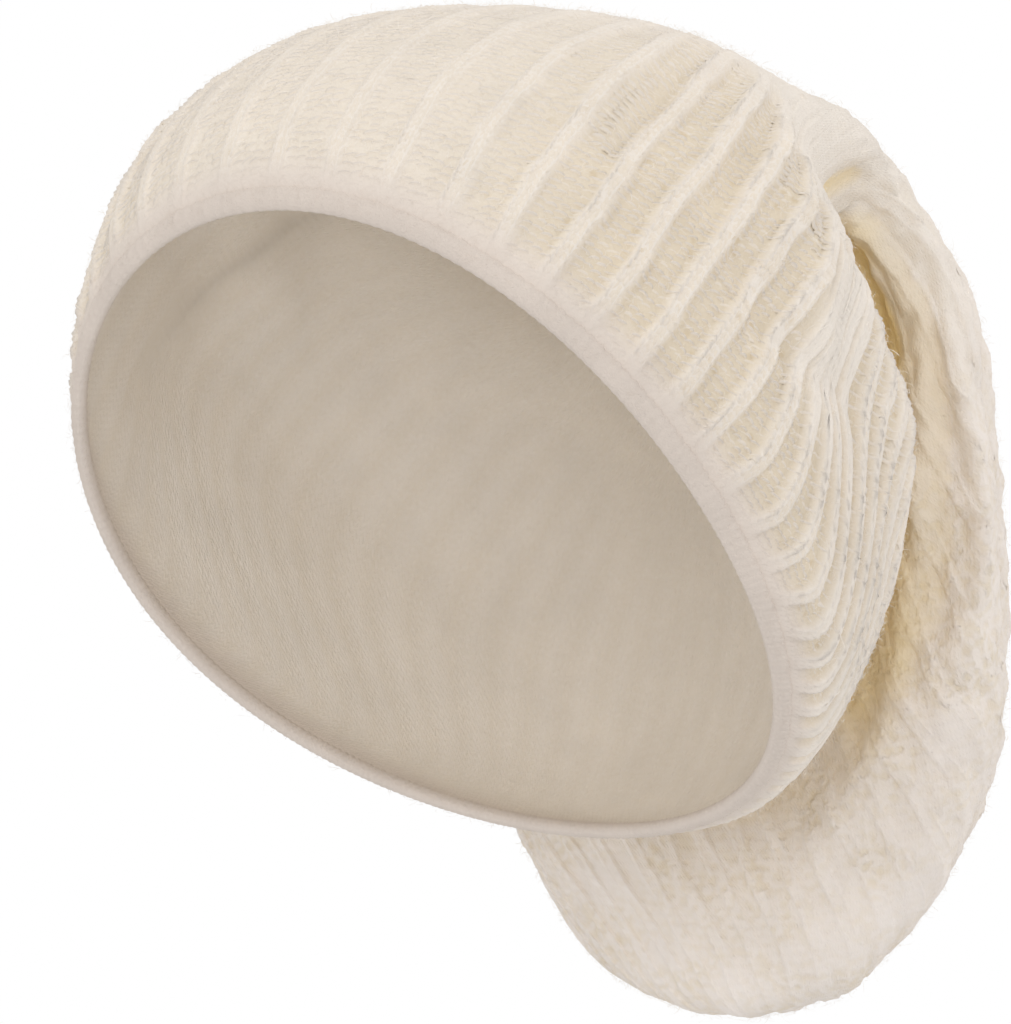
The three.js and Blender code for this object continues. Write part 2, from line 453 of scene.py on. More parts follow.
    def shift(self, number: Array, row: Array) -> Array:
        """Sideways wander of a rib.

        Args:
            number: Whole rib numbers.
            row: Row numbers.

        Returns:
            Millimetres.
        """
        slow = np.sin(0.37 * row + 1.7 * number)
        quick = np.sin(1.1 * row + 2.4 * number) * (0.6 + 0.4 * np.sin(0.21 * row + number))
        return self.wander * (0.55 * slow + 0.45 * quick)

    @staticmethod
    def presence(number: Array, place: Array) -> Array:
        """How much of a rib there is: every second one ends in the neck, and again near the tip.

        Args:
            number: Whole rib numbers.
            place: Section numbers.

        Returns:
            Shares from 0 to 1.
        """
        odd = number % 2 != 0
        half = (number % 4 != 0) & ~odd
        there = np.where(odd, 1 - ease(7.2, 8.4, place), 1.0)
        return np.where(half, there * (1 - ease(15, 15.6, place)), there)

    def _relief(self, lip_place: float = 0.8, lip_width: float = 0.2, room: float = 9.5) -> Array:
        """Height of the ribs over the smooth cloth, each with a lip along both edges.

        Args:
            lip_place: Distance of a lip from the middle of its rib, in half widths.
            lip_width: Width of a lip, in half widths.
            room: Room from one rib to the next at which a rib has its full height.

        Returns:
            Heights in millimetres.
        """
        place = self.place[:, None]
        degrees = np.degrees(self.angle)
        step = self.rib_step(place)
        half = np.minimum(self.rib_half, self.crowded * step * self.rib_pitch)
        lean = np.clip(degrees / 30, -1, 1) * (1 - ease(100, 150, np.abs(degrees)))
        nearest, lips = np.zeros_like(self.rib_pitch), np.zeros_like(self.rib_pitch)
        for offset in range(-4, 5):
            number = np.round(self.ribs)[None] + offset
            away = (self.ribs[None] - number) * self.rib_pitch - self.shift(number, self.rows[:, None])
            share = away / half
            there = self.presence(number, place)
            bump = (1 - ease(0.75, 1.3, np.abs(share))) * there
            front = np.exp(-(((share + lip_place) / lip_width) ** 2)) * (0.5 + 0.5 * lean)
            back = np.exp(-(((share - lip_place) / lip_width) ** 2)) * (0.5 - 0.25 * lean)
            middle = -0.4 * np.exp(-((share / 0.5) ** 2))
            lips = lips + (front + back + middle) * there
            nearest = np.maximum(nearest, bump)
        fade = ease(2.1, 6.0, self.rows)[:, None]
        strength = self.strength(place, self.angle) * np.clip(self.rib_pitch * step / room, 0.3, 1)
        depth = (self.trough_depth + self.rib_height) * strength
        return (self.rib_height - depth * (1 - nearest) + self.lip * strength * lips) * fade

    def sample(self, values: Array, rib: Array, row: Array) -> Array:
        """Values of a sampled field between its samples, wrapped round the tube.

        Args:
            values: The field, with a number or a row of numbers for each sample.
            rib: Rib numbers.
            row: Row numbers.

        Returns:
            The values at each place.
        """
        across = (np.asarray(rib, float) - self.ribs[0]) / self.ribs_step
        down = np.clip(np.asarray(row, float) / self.rows_step, 0, len(self.rows) - 1.001)
        count = len(self.ribs)
        i, j = down.astype(int), np.floor(across).astype(int)
        di, dj = down - i, across - j
        if values.ndim == 3:
            di, dj = di[..., None], dj[..., None]
        j0, j1 = j % count, (j + 1) % count
        upper = values[i, j0] * (1 - dj) + values[i, j1] * dj
        lower = values[i + 1, j0] * (1 - dj) + values[i + 1, j1] * dj
        return upper * (1 - di) + lower * di

    def at(self, rib: Array, row: Array, height: Array, ribbed: bool = True) -> Array:
        """Points at a height over the cloth.

        Args:
            rib: Rib numbers.
            row: Row numbers.
            height: Millimetres over the ribbed cloth, or over the smooth cloth.
            ribbed: Whether the relief of the ribs counts.

        Returns:
            Points in millimetres.
        """
        if ribbed:
            height = height + self.sample(self.relief, rib, row)
        normal = self.sample(self.normal, rib, row)
        return self.sample(self.point, rib, row) + normal * np.asarray(height)[..., None]

    def find_openness(self, crease: float = 3.0, loss: float = 0.42, bank_light: float = 0.45) -> None:
        """Finds how open each place of the cloth is to the light, which sets the painted shade.

        Args:
            crease: Depth of a crease that takes the whole loss.
            loss: Most that a crease behind the head takes from the openness.
            bank_light: Least openness of the near bank of the bag, which the head shades.
        """
        self.openness = self._refined(self._open_share())
        place = self.place[:, None]
        # Creases behind the head lose openness, so more shade is painted in them.
        self.openness -= loss * (-self.fold / crease).clip(0, 1) ** 0.7 * ease(4.4, 5.6, place)
        # The near bank of the bag gets back openness, which paints light where the head shades it.
        bank = 1 - ease(129, 139, np.degrees(np.abs(self.angle)))
        bank = bank * (ease(8.6, 9.4, place) * (1 - ease(11.8, 12.6, place)))
        self.openness += bank * (bank_light - self.openness).clip(0, 1)

    def _open_share(self, rays: int = 24, reach: float = 55.0, lift: float = 1.2) -> Array:
        """Share of the directions out of the cloth in which nothing stands near.

        Args:
            rays: Directions tried from each place.
            reach: Length of a ray in millimetres.
            lift: Height over the cloth at which the rays start.

        Returns:
            Shares from 0 to 1 at every few samples.
        """
        rows, ribs = self.rows[:: self.shade_step], self.ribs[:: self.shade_step]
        row, rib = rows[:, None] + 0 * ribs[None], ribs[None] + 0 * rows[:, None]
        skin = self.at(rib, row, np.zeros(rib.shape), ribbed=False)
        tree = BVHTree.FromPolygons(skin.reshape(-1, 3).tolist(), ring_quads(*rib.shape).tolist())
        normal = self.sample(self.normal, rib, row)
        turn = np.arange(rays) * GOLDEN_ANGLE
        flat = np.sqrt((np.arange(rays) + 0.5) / rays)
        local = np.stack([flat * np.cos(turn), flat * np.sin(turn), np.sqrt(1 - flat**2)], -1)
        side = np.cross(normal, OFF_AXIS)
        side /= np.linalg.norm(side, axis=-1, keepdims=True)
        third = np.cross(normal, side)
        spots = (skin + normal * lift).reshape(-1, 3)
        axes = np.stack([side, third, normal], -2).reshape(-1, 3, 3)
        ways = np.einsum("rk,nkd->nrd", local, axes)
        found = np.empty(len(spots))
        for n, (spot, some) in enumerate(zip(spots.tolist(), ways.tolist())):
            found[n] = np.mean([tree.ray_cast(spot, way, reach)[0] is None for way in some])
        return found.reshape(rib.shape)

    def _refined(self, coarse: Array) -> Array:
        """Smooths values found at every few samples, and carries them to all samples.

        Args:
            coarse: Values at every few rows and ribs.

        Returns:
            Values at all samples.
        """
        rows, count = coarse.shape
        coarse = (coarse + np.roll(coarse, 1, 1) + np.roll(coarse, -1, 1)) / 3
        down = np.clip(np.arange(len(self.rows)) / self.shade_step, 0, rows - 1.001)
        across = np.arange(len(self.ribs)) / self.shade_step
        i, j = down.astype(int), across.astype(int)
        di, dj = (down - i)[:, None], (across - j)[None]
        after = (j + 1) % count
        upper = coarse[i][:, j] * (1 - dj) + coarse[i][:, after] * dj
        lower = coarse[i + 1][:, j] * (1 - dj) + coarse[i + 1][:, after] * dj
        return upper * (1 - di) + lower * di


def new_mesh(name: str, points: Array, faces: Array, tones: Array, places: Array) -> bpy.types.Object:
    """Smooth-shaded object made of faces with the same number of corners.

    Args:
        name: Name of the object.
        points: Points in millimetres.
        faces: Point numbers, a row for each face.
        tones: Openness to the light and depth in the knit, from 0 to 1, for each point, which set its painted
            shade.
        places: Rib and row of each point.

    Returns:
        The object, linked to the scene.
    """
    mesh = bpy.data.meshes.new(name)
    corners = faces.shape[1]
    mesh.vertices.add(len(points))
    mesh.vertices.foreach_set("co", (points * MM).astype(np.float32).ravel())
    mesh.loops.add(faces.size)
    mesh.loops.foreach_set("vertex_index", faces.astype(np.int32).ravel())
    mesh.polygons.add(len(faces))
    mesh.polygons.foreach_set("loop_start", (np.arange(len(faces)) * corners).astype(np.int32))
    mesh.update(calc_edges=True)
    mesh.validate()
    mesh.shade_smooth()
    for key, column in (("openness", tones[:, 0]), ("depth", tones[:, 1])):
        mesh.attributes.new(key, "FLOAT", "POINT").data.foreach_set("value", column.astype(np.float32))
    spots = np.zeros((*faces.shape, 3), np.float32)
    spots[..., :2] = places[faces]
    across = spots[..., 0]
    across[(np.ptp(across, axis=1) > RIBS / 2)[:, None] & (across < 0)] += RIBS
    mesh.attributes.new("knit_place", "FLOAT_VECTOR", "CORNER").data.foreach_set("vector", spots.ravel())
    made = bpy.data.objects.new(name, mesh)
    bpy.context.scene.collection.objects.link(made)
    return made


def place_piece(piece: bpy.types.Object, slot: str, material: bpy.types.Material, *nodes: str) -> None:
    """Dresses a piece, hangs it on what it rides on and hides the CAD nodes that it stands for.

    Args:
        piece: The piece.
        slot: Not used.
        material: Its material.
        *nodes: CAD nodes that it replaces.
    """
    piece.data.materials.append(material)
    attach(piece, BODY)
    if nodes:
        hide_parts(*nodes)
    log.info("%s: %d faces", piece.name, len(piece.data.polygons))


class NodeTree:
    """Short calls for making and joining shader nodes."""

    def __init__(self, tree: bpy.types.NodeTree) -> None:
        """Works on a tree."""
        self.tree = tree

    def add(self, kind: str, inputs: dict | None = None, **settings: object) -> bpy.types.Node:
        """Adds a node.

        Args:
            kind: The node's type, without ShaderNode.
            inputs: Values or sockets for its inputs.
            **settings: Values for its own properties.

        Returns:
            The node.
        """
        node = self.tree.nodes.new(kind if kind.startswith("Node") else "ShaderNode" + kind)
        for key, value in settings.items():
            setattr(node, key, value)
        for key, value in (inputs or {}).items():
            if isinstance(value, Socket):
                self.tree.links.new(value, node.inputs[key])
            else:
                node.inputs[key].default_value = value
        return node

    def math(self, operation: str, *values: object, clamp: bool = False) -> Socket:
        """Result of a sum on values or sockets.

        Args:
            operation: The sum's name in Blender.
            *values: Numbers or sockets.
            clamp: Whether to keep the result from 0 to 1.

        Returns:
            The result's socket.
        """
        inputs = dict(enumerate(values))
        return self.add("Math", inputs, operation=operation, use_clamp=clamp).outputs[0]

    def mix(self, share: object, first: object, second: object) -> Socket:
        """Mixture of two colours.

        Args:
            share: Share of the second colour.
            first: The first colour or its socket.
            second: The second colour or its socket.

        Returns:
            The mixture's socket.
        """
        inputs = {"Factor": share, "A": first, "B": second}
        node = self.tree.nodes.new("ShaderNodeMix")
        node.data_type = "RGBA"
        for key, value in inputs.items():
            socket = next(s for s in node.inputs if s.name == key and (s.type == "RGBA") == (key != "Factor"))
            if isinstance(value, Socket):
                self.tree.links.new(value, socket)
            else:
                socket.default_value = value
        return next(s for s in node.outputs if s.type == "RGBA")

    def attribute(self, name: str, output: str = "Fac") -> Socket:
        """Value that the mesh keeps for each point."""
        return self.add("Attribute", attribute_name=name).outputs[output]

    def noise(self, vector: Socket, scale: float, detail: float, roughness: float = 0.5) -> Socket:
        """Noise from 0 to 1, with a scale in features for each metre."""
        inputs = {"Vector": vector, "Scale": scale, "Detail": detail, "Roughness": roughness}
        return self.add("TexNoise", inputs).outputs["Fac"]

    def spread(self, value: Socket, low: float, high: float, kind: str = "LINEAR") -> Socket:
        """Value that rises from 0 to 1 between two limits."""
        inputs = {"Value": value, "From Min": low, "From Max": high}
        return self.add("MapRange", inputs, interpolation_type=kind).outputs[0]

    def knit_place(self, axis: str) -> Socket:
        """Rib number (X) or row number (Y) of the place on the cloth."""
        return self.add("SeparateXYZ", {0: self.attribute("knit_place", "Vector")}).outputs[axis]


def new_group(name: str, sockets: tuple[tuple[str, str, str, object], ...]) -> bpy.types.NodeTree:
    """Shader group with named sockets.

    Args:
        name: Name of the group.
        sockets: Name, INPUT or OUTPUT, type and default of each socket.

    Returns:
        The group's tree, still without nodes.
    """
    group = bpy.data.node_groups.new(name, "ShaderNodeTree")
    for label, way, kind, default in sockets:
        socket = group.interface.new_socket(label, in_out=way, socket_type="NodeSocket" + kind)
        if default is not None:
            socket.default_value = default
    return group


@dataclass(frozen=True)
class WoolFinish:
    """Colours and roughness of a woollen finish, with the colours of its painted shade.

    Attributes:
        name: Name of the material.
        lit: Colour of the wool on top of the knit, where no shade is painted.
        deep: Colour of the painted shade down between the stitches.
        shaded_fold: Colour of the painted shade in the folds and creases.
        brim: Colour of the painted shade next to the rolled edge.
        felt: Colour of the felted cloth.
        hole_shade: Strength of the painted shade in small gaps between deep stitches.
        fibre_bump: Height of the fibres in millimetres.
        stitch_bump: Height of the stitches that have no yarn of their own.
        roughness: Roughness of the surface.
        specular: Level of its plain reflection.
        sheen: Weight of the light on its fibres.
        sheen_roughness: Spread of that light.
        sheen_tint: Colour of that light.
    """

    name: str
    lit: Colour
    deep: Colour
    shaded_fold: Colour
    brim: Colour = (0.75, 0.67, 0.595, 1)
    felt: Colour = (0.91, 0.85, 0.795, 1)
    hole_shade: float = 0.0
    fibre_bump: float = 0.16
    stitch_bump: float = 0.0
    roughness: float = 0.9
    specular: float = 0.15
    sheen: float = 0.12
    sheen_roughness: float = 0.45
    sheen_tint: Colour = (1.0, 0.93, 0.82, 1.0)

    def build(self, tone: bpy.types.NodeTree, relief: bpy.types.NodeTree) -> bpy.types.Material:
        """Makes the material.

        Args:
            tone: Group that gives the wool its colour.
            relief: Group that gives its fine height.

        Returns:
            The material.
        """
        material = bpy.data.materials.new(self.name)
        material.use_nodes = True
        nodes = NodeTree(material.node_tree)
        shader = material.node_tree.nodes["Principled BSDF"]
        colour = nodes.add("Group", {}, node_tree=tone)
        for label in ("Lit", "Deep", "Shaded_fold", "Brim", "Felt", "Hole_shade"):
            colour.inputs[label].default_value = getattr(self, label.lower())
        height = nodes.add("Group", {}, node_tree=relief)
        height.inputs["Fibre"].default_value = self.fibre_bump
        height.inputs["Stitch"].default_value = self.stitch_bump
        bump = nodes.add("Bump", {"Height": height.outputs["Height"], "Distance": MM, "Strength": 1.0})
        links = material.node_tree.links
        links.new(colour.outputs["Color"], shader.inputs["Base Color"])
        links.new(bump.outputs["Normal"], shader.inputs["Normal"])
        shader.inputs["Roughness"].default_value = self.roughness
        shader.inputs["Specular IOR Level"].default_value = self.specular
        shader.inputs["Sheen Weight"].default_value = self.sheen
        shader.inputs["Sheen Roughness"].default_value = self.sheen_roughness
        shader.inputs["Sheen Tint"].default_value = self.sheen_tint
        return material


# The wool's texture and painted shade: scales in features for each metre, rows between which a look
# comes in, and the two colours of painted shade that show only in small spots.
FIBRE_SCALE = 2600.0
LOCK_SCALE = 900.0
TUFT_SCALE = 750.0
PIT_SCALE = 430.0
HOLE_SHADE_SCALE = 190.0
CLOUD_SCALE = 70.0
PATCH_SCALE = 62.0
FELTED_ROWS = (85.0, 115.0)
BRIM_SHADE_ROWS = (7.5, 1.5)
HOLE_SHADE_COLOUR = (0.68, 0.56, 0.38, 1)
PIT_SHADE_COLOUR = (0.8, 0.69, 0.5, 1)
PIT_DEPTH = -0.36  # millimetres
FOLD_SHADE_OPENNESS = 0.52  # openness under which painted shade comes into the folds
FOLD_SHADE_RISE = 3.6  # how fast that painted shade comes in below it
COLUMNS_PER_RIB = 6.0  # columns of drawn stitches from one rib number to the next


def wool_felt_group() -> bpy.types.NodeTree:
    """Group that finds where the cloth is felted, and its pits and patches there.

    Returns:
        The group.
    """
    group = new_group(
        "wool felt",
        (
            ("Felted", "OUTPUT", "Float", None),
            ("Pits", "OUTPUT", "Float", None),
            ("Patches", "OUTPUT", "Float", None),
        ),
    )
    nodes = NodeTree(group)
    spot = nodes.add("TexCoord").outputs["Object"]
    felted = nodes.spread(nodes.knit_place("Y"), *FELTED_ROWS)
    pits = nodes.spread(nodes.noise(spot, PIT_SCALE, 1.0, 0.4), 0.42, 0.68)
    patches = nodes.spread(nodes.noise(spot, PATCH_SCALE, 1.0), 0.32, 0.72)
    patches = nodes.math("MULTIPLY", patches, felted)
    pits = nodes.math("MULTIPLY", pits, nodes.math("MULTIPLY_ADD", patches, 0.75, 0.2))
    end = nodes.add("NodeGroupOutput")
    group.links.new(felted, end.inputs["Felted"])
    group.links.new(nodes.math("MULTIPLY", pits, felted), end.inputs["Pits"])
    group.links.new(patches, end.inputs["Patches"])
    return group


def wool_tone_group(felt: bpy.types.NodeTree) -> bpy.types.NodeTree:
    """Group that colours wool, with painted shade by how deep it lies in the knit and in the folds.

    Args:
        felt: Group that finds the felted cloth.

    Returns:
        The group.
    """
    group = new_group(
        "wool tone",
        (
            ("Lit", "INPUT", "Color", (0.8, 0.7, 0.6, 1)),
            ("Deep", "INPUT", "Color", (0.6, 0.5, 0.4, 1)),
            ("Shaded_fold", "INPUT", "Color", (0.5, 0.3, 0.1, 1)),
            ("Brim", "INPUT", "Color", (0.7, 0.6, 0.5, 1)),
            ("Felt", "INPUT", "Color", (0.9, 0.8, 0.7, 1)),
            ("Hole_shade", "INPUT", "Float", 0.0),
            ("Color", "OUTPUT", "Color", None),
        ),
    )
    nodes = NodeTree(group)
    given = nodes.add("NodeGroupInput").outputs
    spot = nodes.add("TexCoord").outputs["Object"]
    # Painted shade: the lit colour turns to the deep colour down in the knit.
    depth = nodes.attribute("depth")
    wave = nodes.math("MULTIPLY_ADD", nodes.noise(spot, LOCK_SCALE, 2.0), 0.5, -0.25)
    low = nodes.math("ADD", depth, wave, clamp=True)
    knit = nodes.mix(low, given["Lit"], given["Deep"])
    # Painted shade in small spots between deep stitches.
    hole_shade_mask = nodes.add("TexVoronoi", {"Vector": spot, "Scale": HOLE_SHADE_SCALE}).outputs["Distance"]
    hole_shade_mask = nodes.spread(hole_shade_mask, 0.24, 0.1)
    hole_shade_mask = nodes.math("MULTIPLY", hole_shade_mask, nodes.math("MULTIPLY", nodes.spread(depth, 0.5, 0.8), given["Hole_shade"]))
    knit = nodes.mix(hole_shade_mask, knit, HOLE_SHADE_COLOUR)
    # Painted shade next to the rolled edge.
    brim = nodes.spread(nodes.knit_place("Y"), *BRIM_SHADE_ROWS, kind="SMOOTHSTEP")
    knit = nodes.mix(brim, knit, given["Brim"])
    found = nodes.add("Group", {}, node_tree=felt).outputs
    # Felted cloth has its own tone with random patches, and painted shade in its pits.
    mottle_and_pit_shade = nodes.math("MULTIPLY_ADD", found["Patches"], 0.15, nodes.math("MULTIPLY", found["Pits"], 0.6))
    cloth = nodes.mix(mottle_and_pit_shade, given["Felt"], PIT_SHADE_COLOUR)
    knit = nodes.mix(nodes.math("MULTIPLY", found["Felted"], 0.8), knit, cloth)
    # Painted shade in the folds, where little light gets in.
    fold_shade_mask = nodes.math("SUBTRACT", FOLD_SHADE_OPENNESS, nodes.attribute("openness"))
    fold_shade_mask = nodes.math("MULTIPLY", fold_shade_mask, FOLD_SHADE_RISE, clamp=True)
    shaded_fold = nodes.mix(fold_shade_mask, knit, given["Shaded_fold"])
    bright = nodes.math("MULTIPLY_ADD", nodes.noise(spot, CLOUD_SCALE, 3.0), 0.14, 0.93)
    grey = nodes.add("CombineXYZ", {0: bright, 1: bright, 2: bright}).outputs[0]
    scaled = nodes.add("VectorMath", {0: shaded_fold, 1: grey}, operation="MULTIPLY")
    end = nodes.add("NodeGroupOutput")
    group.links.new(scaled.outputs[0], end.inputs["Color"])
    return group


def wool_relief_group(felt: bpy.types.NodeTree) -> bpy.types.NodeTree:
    """Group that gives wool its fibres, and a flat skin its columns of stitches or its pits.

    Args:
        felt: Group that finds the felted cloth.

    Returns:
        The group.
    """
    group = new_group(
        "wool relief",
        (
            ("Fibre", "INPUT", "Float", 0.5),
            ("Stitch", "INPUT", "Float", 0.0),
            ("Height", "OUTPUT", "Float", None),
        ),
    )
    nodes = NodeTree(group)
    given = nodes.add("NodeGroupInput").outputs
    spot = nodes.add("TexCoord").outputs["Object"]
    fuzz = nodes.math(
        "MULTIPLY_ADD", nodes.noise(spot, TUFT_SCALE, 2.0), 0.6, nodes.noise(spot, FIBRE_SCALE, 3.0, 0.6)
    )
    column = nodes.math("PINGPONG", nodes.math("MULTIPLY", nodes.knit_place("X"), COLUMNS_PER_RIB), 0.5)
    loop = nodes.math("PINGPONG", nodes.math("MULTIPLY_ADD", column, 1.3, nodes.knit_place("Y")), 0.5)
    stitch = nodes.math("MULTIPLY", loop, nodes.math("MULTIPLY_ADD", column, 1.2, 0.4))
    total = nodes.math("MULTIPLY", fuzz, given["Fibre"])
    total = nodes.math("MULTIPLY_ADD", stitch, given["Stitch"], total)
    pits = nodes.add("Group", {}, node_tree=felt).outputs["Pits"]
    total = nodes.math("MULTIPLY_ADD", pits, PIT_DEPTH, total)
    end = nodes.add("NodeGroupOutput")
    group.links.new(total, end.inputs["Height"])
    return group


CREAM_SKIN = WoolFinish(
    name="cream wool skin",
    lit=(0.875, 0.815, 0.73, 1),
    deep=(0.775, 0.685, 0.54, 1),
    shaded_fold=(0.9, 0.73, 0.4, 1),
    hole_shade=0.6,
    stitch_bump=0.22,
)
CREAM_YARN = WoolFinish(
    name="cream wool yarn",
    lit=(0.875, 0.812, 0.732, 1),
    deep=(0.83, 0.75, 0.63, 1),
    shaded_fold=(0.9, 0.73, 0.4, 1),
    hole_shade=0.4,
)
# Darker, rosier cream for the rolled edge, as painted shade on it.
SHADED_EDGE = WoolFinish(
    name="cream edge in painted shade",
    lit=(0.76, 0.68, 0.61, 1),
    deep=(0.73, 0.65, 0.58, 1),
    shaded_fold=(0.7, 0.58, 0.44, 1),
    fibre_bump=0.35,
)
WOOL_HAIR = WoolFinish(
    name="cream wool hair",
    lit=(0.92, 0.87, 0.8, 1),
    deep=(0.9, 0.84, 0.74, 1),
    shaded_fold=(0.87, 0.73, 0.47, 1),
    fibre_bump=0.0,
)


@dataclass
class KnitBody:
    """The ribbed skin of the tube: an outer and an inner face, joined at the brim and each closed at the tip.

    Attributes:
        cloth: The sampled cloth.
        columns: Points across a rib of the outer face, in half widths from its middle.
        inner_per_rib: Points from one rib to the next on the inner face.
        inner_turn: Ribs by which the inner face starts before the outer one.
        row_step: Rows between two rings of points.
        first_row: Row of the first ring.
        tuck: Depth to which the outer face dips into the rolled edge.
        wall: Thickness of the skin.
        thin_wall: Its thickness at the tip.
        inner_relief: How much of the ribs the inner face takes.
        inner_openness: How open the inner face counts as.
    """

    cloth: Cloth
    columns: tuple[float, ...] = (-1.6, -1.28, -1.02, -0.8, -0.55, 0, 0.55, 0.8, 1.02, 1.28, 1.6)
    inner_per_rib: int = 2
    inner_turn: float = 0.46
    row_step: float = 1.67
    first_row: float = 1.2
    tuck: float = 0.9
    wall: float = 2.6
    thin_wall: float = 0.9
    inner_relief: float = 0.55
    inner_openness: float = 0.85

    def outer_grid(self, rows: Array) -> tuple[Array, Array]:
        """Places of the outer face's points, which follow each rib and the middle of each trough.

        Args:
            rows: Row of each ring.

        Returns:
            Ribs and rows of the points, a row for each ring.
        """
        cloth, columns = self.cloth, len(self.columns)
        number = np.repeat(np.arange(-RIBS // 2, RIBS // 2), columns + 1).astype(float)
        offset = np.tile(np.array(self.columns + (0,)), RIBS)
        trough = np.tile(np.array((0,) * columns + (0.5,)), RIBS)
        rib, row = np.meshgrid(number, rows)
        pitch = cloth.sample(cloth.rib_pitch, rib, row)
        room = np.minimum(cloth.rib_width(rib, row) / pitch, 0.27)
        shift = np.where(trough > 0, 0, np.clip(cloth.shift(rib, row) / pitch, -0.04, 0.04))
        return rib + offset[None] * room + shift + trough, row

    def face(self, side: Face) -> tuple[Array, Array, Array, Array, Array]:
        """One face of the skin.

        Args:
            side: Which face.

        Returns:
            Its points, faces, tones, places and the point numbers of its brim.
        """
        cloth = self.cloth
        rows = np.arange(self.first_row, cloth.row_count - 0.4, self.row_step)
        if side is Face.OUTER:
            rib, row = self.outer_grid(rows)
        else:
            ribs = np.arange(-RIBS / 2, RIBS / 2, 1 / self.inner_per_rib) - self.inner_turn
            rib, row = np.meshgrid(ribs, rows)
        relief = cloth.sample(cloth.relief, rib, row)
        # Painted shade in the troughs, less where the ribs crowd together.
        depth = (-relief / cloth.trough_depth).clip(0, 1) * (0.3 + 0.7 * ease(4.5, 9, cloth.room(rib, row)))
        if side is Face.OUTER:
            height = relief - self.tuck * (1 - ease(1.0, 3.2, row))
            openness = cloth.sample(cloth.openness, rib, row)
        else:
            height = relief * self.inner_relief
            height = height - np.minimum(self.wall, self.thin_wall + 0.05 * (cloth.row_count - row))
            # The inner face takes a light painted shade, least where its ribs dip.
            depth = 0.25 - 0.25 * depth
            openness = np.full(rib.shape, self.inner_openness)
        points = cloth.at(rib, row, height, ribbed=False)
        tip = points[-1].mean(0)
        count = rib.shape[1]
        quads = ring_quads(*rib.shape)
        last = np.arange(rib.size - count, rib.size)
        cap = np.stack([last, np.roll(last, -1), np.full(count, rib.size)], -1)
        triangles = np.concatenate([quads[:, :3], quads[:, (0, 2, 3)], cap])
        if side is Face.INNER:
            triangles = triangles[:, ::-1]
        tones = np.column_stack([openness.ravel(), depth.ravel()])
        places = np.column_stack([rib.ravel(), row.ravel()])
        return (
            np.vstack([points.reshape(-1, 3), tip]),
            triangles,
            np.vstack([tones, (0.8, 0.5)]),
            np.vstack([places, (0, cloth.row_count)]),
            np.arange(count),
        )

    def build(self, finish: bpy.types.Material) -> bpy.types.Object:
        """Makes the skin and dresses it.

        Args:
            finish: Its material.

        Returns:
            The piece.
        """
        outer, inner = self.face(Face.OUTER), self.face(Face.INNER)
        start, count = len(outer[0]), len(outer[4])
        share = (len(self.columns) + 1) // self.inner_per_rib
        brim = []
        inner_ring = inner[4] + start
        for i, corner in enumerate(inner_ring):
            along = [outer[4][(i * share + k) % count] for k in range(share + 1)]
            brim += [(corner, along[k + 1], along[k]) for k in range(share)]
            brim.append((corner, inner_ring[(i + 1) % len(inner_ring)], along[share]))
        faces = np.vstack([outer[1], inner[1] + start, np.array(brim)])
        points, tones, places = (np.vstack([outer[k], inner[k]]) for k in (0, 2, 3))
        piece = new_mesh("knit_body", points, faces, tones, places)
        place_piece(piece, "cream_knit", finish, "knit_body")
        return piece


def arched_strand(spine: Array, half: Array, top: Array, foot: float) -> tuple[Array, Array]:
    """Strands of yarn that lie on the cloth, with a ridge and two feet at each ring.

    Args:
        spine: (strand, ring, 2) middle of each ring, across and along, with the ends first and last.
        half: (strand, ring) half width of each ring.
        top: (strand, ring) height of the ridge.
        foot: Height of the feet and the ends.

    Returns:
        Points (strand, point, 3) across, along and up, and the triangles of one strand.
    """
    run = np.gradient(spine, axis=1)
    run /= np.maximum(np.linalg.norm(run, axis=-1, keepdims=True), 1e-6)
    side = np.stack([-run[..., 1], run[..., 0]], -1)
    rings = spine.shape[1] - 2
    points = []
    low = np.full(spine.shape[0], foot)
    points.append(np.column_stack([spine[:, 0], low]))
    for ring in range(1, rings + 1):
        step = side[:, ring] * half[:, ring, None]
        points.append(np.column_stack([spine[:, ring] - step, low]))
        points.append(np.column_stack([spine[:, ring], top[:, ring]]))
        points.append(np.column_stack([spine[:, ring] + step, low]))
    points.append(np.column_stack([spine[:, -1], low]))
    faces = [(0, 2, 1), (0, 3, 2)]
    for ring in range(rings - 1):
        a = 1 + 3 * ring
        faces += [(a, a + 1, a + 4), (a, a + 4, a + 3), (a + 1, a + 2, a + 5), (a + 1, a + 5, a + 4)]
    a, end = 1 + 3 * (rings - 1), 1 + 3 * rings
    faces += [(a, a + 1, end), (a + 1, a + 2, end)]
    return np.stack(points, 1), np.array(faces)


